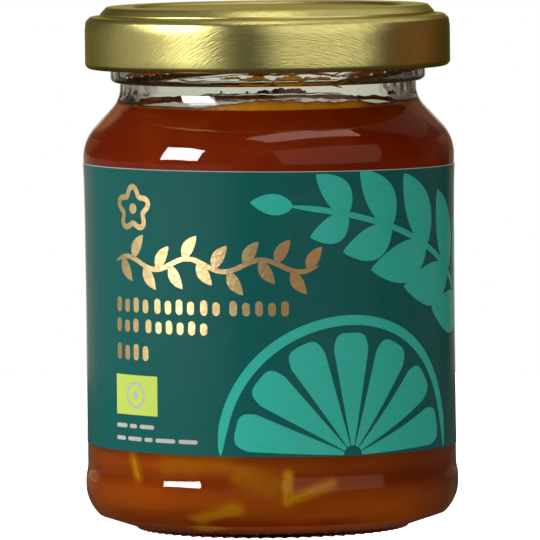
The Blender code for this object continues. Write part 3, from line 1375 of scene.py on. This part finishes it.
@dataclass
class Lid:
    """The twist-off lid: sunken panel with a low button, round shoulder, stepped skirt and rolled edge."""

    sides: int = 256
    sheet: float = 0.3
    top: float = 79.65
    drop: float = 0.5
    panel: float = 19.8
    rise: float = 0.9
    button: float = 7.5
    button_height: float = 0.28
    crown: float = 25.4
    crown_round: float = 1.3
    step: float = 78.15
    skirt: float = 27.83
    skirt_ease: float = 8.0
    skirt_tilt: float = 10.8
    skirt_round: float = 1.1
    skirt_high: float = 75.8
    curl: float = 0.9
    low: float = 70.25
    brushed_towards: float = -82.0

    def outside(self) -> Array:
        """The outer skin from the middle of the top to the bottom of the curl.

        Returns:
            Rows of radius and height.
        """
        radius = np.linspace(0, self.button, 10)
        button = self.top - self.drop + self.button_height * (1 - (radius / self.button) ** 2) ** 2
        across = np.linspace(0, 1, 8)
        climb = self.top - self.drop * (1 + np.cos(np.pi * across)) / 2
        crown = (self.crown - self.crown_round, self.top - self.crown_round)
        curl = (self.skirt - self.curl, self.low + self.curl)
        eased = arc((self.skirt - self.skirt_ease, self.skirt_high), self.skirt_ease, self.skirt_tilt, 0, 6)
        tilt = radians(self.skirt_tilt)
        corner = tuple(eased[0] - self.skirt_round * circle(tilt))
        valley = arc((self.crown + 0.25, self.step + 0.28), 0.25, 215, 262, 4)
        parts = [
            np.stack([radius, button], 1),
            np.stack([self.panel + self.rise * across, climb], 1),
            arc(crown, self.crown_round, 90, 70, 4),
            [[self.crown + 0.04, self.top - 1.05]],
            valley,
            arc(corner, self.skirt_round, 80, 66, 4),
            arc(corner, self.skirt_round, 24, self.skirt_tilt, 3)[:-1],
            eased,
            arc(curl, self.curl, 0, -230, 22),
        ]
        return np.concatenate(parts)

    def build(self, material: Material) -> Thing:
        """Builds the lid as one closed shell, with a UV map of the flat sheet that it was drawn from.

        A point at length s along the skin and angle a round the lid lies at (s sin b, s cos b) on the sheet,
        where b is a less the angle that the sheet was brushed towards.

        Args:
            material: Its finish.

        Returns:
            The new object.
        """
        outside = densify(self.outside(), 1.0)
        curl_top = self.low + 2 * self.curl
        inner_skirt = self.skirt - self.sheet
        crown = (self.crown - self.crown_round, self.top - self.crown_round)
        skirt = (self.skirt - 1.5, self.step - 1.5)
        under = np.concatenate(
            [
                [[inner_skirt, curl_top + 0.2]],
                arc(skirt, 1.5 - self.sheet, 0, 75, 6),
                arc(crown, self.crown_round - self.sheet, 15, 90, 6),
                [[self.panel + self.rise, self.top - self.sheet]],
                [[self.panel, self.top - self.drop - self.sheet], [0, self.top - self.drop - self.sheet]],
            ]
        )
        profile = np.concatenate([outside, densify(under, 2.0)])
        points, turn, faces = turned(profile, self.sides)
        piece = make_piece("gold_lid", points, faces, material, Slot.TINPLATE, ("lid",), sharp=40)
        lengths = np.concatenate([[0], np.cumsum(np.hypot(*np.diff(profile, axis=0).T))])
        along = np.concatenate([np.repeat(lengths[1:-1], self.sides), [0.0, lengths[-1]]])
        turn = turn - radians(self.brushed_towards)
        sheet = np.stack([along * np.sin(turn), along * np.cos(turn)], 1)
        corner = np.empty(len(piece.data.loops), np.int32)
        piece.data.loops.foreach_get("vertex_index", corner)
        layer = piece.data.uv_layers.new(name="sheet")
        layer.data.foreach_set("uv", sheet[corner].ravel().astype(np.float32))
        return piece


@dataclass
class Camera:
    """The photograph's view: a long lens a little above the lid, tipped down, with a slight roll."""

    distance: float = 1191.1
    height: float = 116.19
    pitch: float = 3.6987
    roll: float = 0.6506
    focal_pixels: float = 7817.55
    frame_pixels: float = 540.0
    sensor: float = 36.0

    def build(self) -> Thing:
        """Builds the camera and makes it the scene's.

        Returns:
            The new object.
        """
        data = bpy.data.cameras.new("camera")
        data.sensor_width = self.sensor
        data.lens = self.focal_pixels / self.frame_pixels * self.sensor
        camera = bpy.data.objects.new("camera", data)
        tip = Matrix.Rotation(radians(90 - self.pitch), 4, "X")
        roll = Matrix.Rotation(radians(-self.roll), 4, "Z")
        camera.matrix_world = Matrix.Translation((0, -self.distance * MM, self.height * MM)) @ (tip @ roll)
        bpy.context.scene.collection.objects.link(camera)
        bpy.context.scene.camera = camera
        return camera


def light_only(light: Thing, lit: tuple[Thing, ...], unshaded: bool = False) -> None:
    """Keeps a light to some objects.

    Args:
        light: The light.
        lit: The objects, or none for all.
        unshaded: Whether only these objects cast shadows in its light.
    """
    if lit:
        chosen = bpy.data.collections.new(light.name + "_lights")
        for thing in lit:
            chosen.objects.link(thing)
        light.light_linking.receiver_collection = chosen
        if unshaded:
            light.light_linking.blocker_collection = chosen


@dataclass(frozen=True)
class Softbox:
    """A studio light panel, placed by the directions that it covers as seen from the jar.

    Azimuth is 0 towards the camera and grows to the camera's right. strength is its brightness; 1 is white.
    """

    name: str
    azimuth: Pair
    elevation: Pair
    strength: float
    shines: Shines
    lights: Lights = Lights.EVERYTHING
    color: str = "FFFFFF"
    distance: float = 1.3
    aim: float = 0.04

    def build(self, lit: tuple[Thing, ...]) -> Thing:
        """Builds the panel as an area light that the camera doesn't see.

        An area light's power is brightness * area * pi.

        Args:
            lit: The objects that it lights, or none for all.

        Returns:
            The light.
        """
        turn = radians(sum(self.azimuth) / 2)
        rise = radians(sum(self.elevation) / 2)
        width = 2 * self.distance * np.tan(radians(self.azimuth[1] - self.azimuth[0]) / 2)
        height = 2 * self.distance * np.tan(radians(self.elevation[1] - self.elevation[0]) / 2)
        width *= np.cos(rise)
        data = bpy.data.lights.new(self.name, "AREA")
        data.shape = "RECTANGLE"
        data.size = float(width)
        data.size_y = float(height)
        data.energy = float(self.strength * width * height * np.pi)
        data.color = linear(self.color)[:3]
        light = bpy.data.objects.new(self.name, data)
        spin = Matrix.Rotation(turn, 4, "Z") @ Matrix.Rotation(radians(90) - rise, 4, "X")
        away = Matrix.Translation((0, 0, self.distance))
        light.matrix_world = Matrix.Translation((0, 0, self.aim)) @ spin @ away
        light.visible_camera = False
        light.visible_diffuse = self.shines is Shines.DIFFUSE
        light.visible_glossy = self.shines is Shines.MIRRORED
        light.visible_transmission = self.shines is Shines.MIRRORED
        bpy.context.scene.collection.objects.link(light)
        light_only(light, lit, self.lights in (Lights.PRESERVE, Lights.LID))
        return light


@dataclass
class Studio:
    """Pale floor, pale backdrop behind the jar, and soft light."""

    floor_radius: float = 0.3
    floor_color: str = "F2F2F2"
    floor_reflected: str = "1E1C12"
    floor_bounce: str = "8C8884"
    floor_shadow: str = "120804"
    shadow_from: float = 0.022
    shadow_to: float = 0.036
    floor_light: float = 9.0
    horizon: float = 0.015
    room: Ring = (
        (-180, "D8D4C6"), (-171, "D4D0C2"), (-166, "5E5048"), (-145, "282828"), (-114, "282828"),
        (-20, "3C3C3C"), (72, "3C3C3C"), (76, "1E1814"), (110, "1E1814"), (116, "403834"),
        (166, "5E5048"), (171, "D4D0C2"), (180, "D8D4C6"),
    )
    table: Ring = (
        (-180, "D8D4C6"), (-171, "D4D0C2"), (-166, "92867A"), (-146, "8C8074"), (-138, "707070"),
        (-60, "8C8C8C"), (-26, "848484"), (-19, "484848"), (3, "484848"), (76, "404040"),
        (90, "5E3F2C"), (128, "5E3F2C"), (134, "343028"), (148, "343028"), (154, "6E645C"),
        (166, "7A6E64"), (171, "D4D0C2"), (180, "D8D4C6"),
    )
    boxes: tuple[Softbox, ...] = field(
        default_factory=lambda: (
            Softbox("key_left", (-72, -45), (10, 34), 24.0, Shines.MIRRORED, Lights.REST),
            Softbox("key_on_lid", (-80, -46), (10, 34), 11.5, Shines.MIRRORED, Lights.LID),
            Softbox("fill_left", (-125, -32), (-5, 60), 2.4, Shines.DIFFUSE, Lights.REST),
            Softbox("fill_front", (-60, 85), (0, 60), 0.6, Shines.DIFFUSE),
            Softbox("card_left", (-116, -70), (-12, 10), 0.33, Shines.MIRRORED, Lights.LID),
            Softbox("panel_on_lid", (0, 72), (-5, 38), 1.3, Shines.MIRRORED, Lights.LID),
            Softbox("card_right", (88, 128), (-8, 28), 0.14, Shines.MIRRORED, Lights.LID, "FFB68B"),
            Softbox("panel_right", (5.5, 74), (-2, 38), 0.6, Shines.MIRRORED, Lights.REST, "FFD0B0"),
            Softbox("top", (-10, 95), (60, 78), 2.6, Shines.MIRRORED, Lights.REST, "FFD8C8"),
            Softbox("overhead_on_lid", (-60, 60), (74, 92), 3.0, Shines.MIRRORED, Lights.LID),
            Softbox("side_left_on_lid", (-140, -60), (40, 80), 0.2, Shines.MIRRORED, Lights.LID),
            Softbox("side_right_on_lid", (62, 150), (30, 78), 0.65, Shines.MIRRORED, Lights.LID),
            Softbox("back_right", (116, 160), (24, 60), 0.12, Shines.MIRRORED, Lights.REST, "FFC0A0"),
            Softbox("under_lid", (-100, 95), (-72, -14), 0.2, Shines.MIRRORED, Lights.LID),
            Softbox("through_gel", (-80, 130), (-20, 75), 0.95, Shines.DIFFUSE, Lights.PRESERVE),
            Softbox("through_shoulder", (15, 110), (45, 85), 2.0, Shines.DIFFUSE, Lights.PRESERVE),
            Softbox("through_foot", (-115, 15), (-60, -10), 1.8, Shines.DIFFUSE, Lights.PRESERVE),
        )
    )

    def build(self, lid: Thing, preserve: tuple[Thing, ...]) -> None:
        """Builds the floor, the world and the light panels.

        Args:
            lid: The lid, which some panels light alone.
            preserve: The jar's contents, which get light through the glass from every side.
        """
        meshes = [thing for thing in bpy.context.scene.objects if thing.type == "MESH"]
        rest = tuple(thing for thing in meshes if thing not in (lid, *preserve))
        lit = {Lights.EVERYTHING: (), Lights.LID: (lid,), Lights.PRESERVE: preserve, Lights.REST: rest}
        turn = np.linspace(0, 2 * np.pi, 96, endpoint=False)
        rim = np.stack([np.sin(turn), np.cos(turn), np.zeros_like(turn)], 1) * self.floor_radius
        mesh = bpy.data.meshes.new("floor")
        mesh.from_pydata(rim.tolist(), [], [list(range(len(rim)))[::-1]])
        material, tree, shader = start_material("matte_white_floor", Roughness=0.8, Specular_IOR_Level=0.1)
        place = add_node(tree, "TexCoord").outputs["Object"]
        away = add_node(tree, "VectorMath", {0: place}, operation="LENGTH").outputs["Value"]
        reach = {"From Min": self.shadow_from, "From Max": self.shadow_to}
        near = add_node(tree, "MapRange", {"Value": away, **reach}).outputs[0]
        path = add_node(tree, "LightPath").outputs
        mirrored = mix(tree, near, self.floor_shadow, self.floor_reflected)
        unseen = mix(tree, path["Is Diffuse Ray"], mirrored, self.floor_bounce)
        color_by(tree, shader, mix(tree, path["Is Camera Ray"], unseen, self.floor_color))
        mesh.materials.append(material)
        floor = bpy.data.objects.new("floor", mesh)
        bpy.context.scene.collection.objects.link(floor)
        self.build_world()
        for box in self.boxes:
            box.build(lit[box.lights])
        self.build_floor_light(floor)
        LOG.info("studio: floor and %d panels", len(self.boxes))

    def build_floor_light(self, floor: Thing) -> None:
        """Builds the wide overhead light that keeps the floor near white. It lights the floor only.

        Args:
            floor: The floor.
        """
        data = bpy.data.lights.new("floor_wash", "SUN")
        data.angle = radians(70)
        data.energy = self.floor_light
        light = bpy.data.objects.new("floor_wash", data)
        bpy.context.scene.collection.objects.link(light)
        light_only(light, (floor,), unshaded=True)

    def add_ring(self, tree: Tree, part: Socket, ring: Ring) -> Socket:
        """Adds a colour ramp over the azimuth.

        Args:
            tree: The world's node tree.
            part: The azimuth as a part of the full turn, 0 at -180 degrees.
            ring: Pairs of azimuth and colour.

        Returns:
            The ramp's colour.
        """
        ramp = add_node(tree, "ValToRGB", {"Fac": part})
        stops = ramp.color_ramp.elements
        for _ in ring[2:]:
            stops.new(0.5)
        for stop, (degrees, color) in zip(stops, ring):
            stop.position = (degrees + 180) / 360
            stop.color = linear(color)
        return ramp.outputs["Color"]

    def build_world(self) -> None:
        """Builds the room, a ring of colours above the horizon and one below. The camera sees white."""
        world = bpy.data.worlds.new("studio")
        world.use_nodes = True
        tree = world.node_tree
        tree.nodes.clear()
        axes = add_node(tree, "SeparateXYZ", {0: add_node(tree, "TexCoord").outputs["Generated"]}).outputs
        azimuth = calc(tree, "ARCTAN2", axes[0], calc(tree, "MULTIPLY", axes[1], -1.0))
        turn = {"Value": azimuth, "From Min": -np.pi, "From Max": np.pi}
        part = add_node(tree, "MapRange", turn).outputs[0]
        rise = {"Value": axes[2], "From Min": -self.horizon, "From Max": self.horizon}
        low, high = (self.add_ring(tree, part, ring) for ring in (self.table, self.room))
        seen = mix(tree, add_node(tree, "MapRange", rise).outputs[0], low, high)
        shown = mix(tree, add_node(tree, "LightPath").outputs["Is Camera Ray"], seen, "FFFFFF")
        back = add_node(tree, "Background", {"Color": shown, "Strength": 1.0})
        out = tree.nodes.new("ShaderNodeOutputWorld")
        tree.links.new(back.outputs[0], out.inputs[0])
        bpy.context.scene.world = world
        bpy.context.scene.view_settings.view_transform = "Standard"


def main() -> None:
    """Builds the jar's pieces, the studio and the camera."""
    logging.basicConfig(level=logging.INFO, format="%(message)s")
    glass = GlassJar()
    glass.build(FlintGlass().make())
    marmalade = Marmalade(glass)
    preserve = (
        marmalade.build(MarmaladeGel().make()),
        marmalade.build_peel(PeelRind().make()),
        marmalade.build_skin(WetSkin().make()),
        marmalade.build_film(DriedSmear().make("marmalade_film_on_glass")),
        NeckSmears(glass).build(DriedSmear().make("dried_marmalade_smear")),
    )
    Label(LabelSheet(glass)).build()
    lid = Lid().build(BrushedTinplate().make())
    Studio().build(lid, preserve)
    Camera().build()


if __name__ == "__main__":
    main()
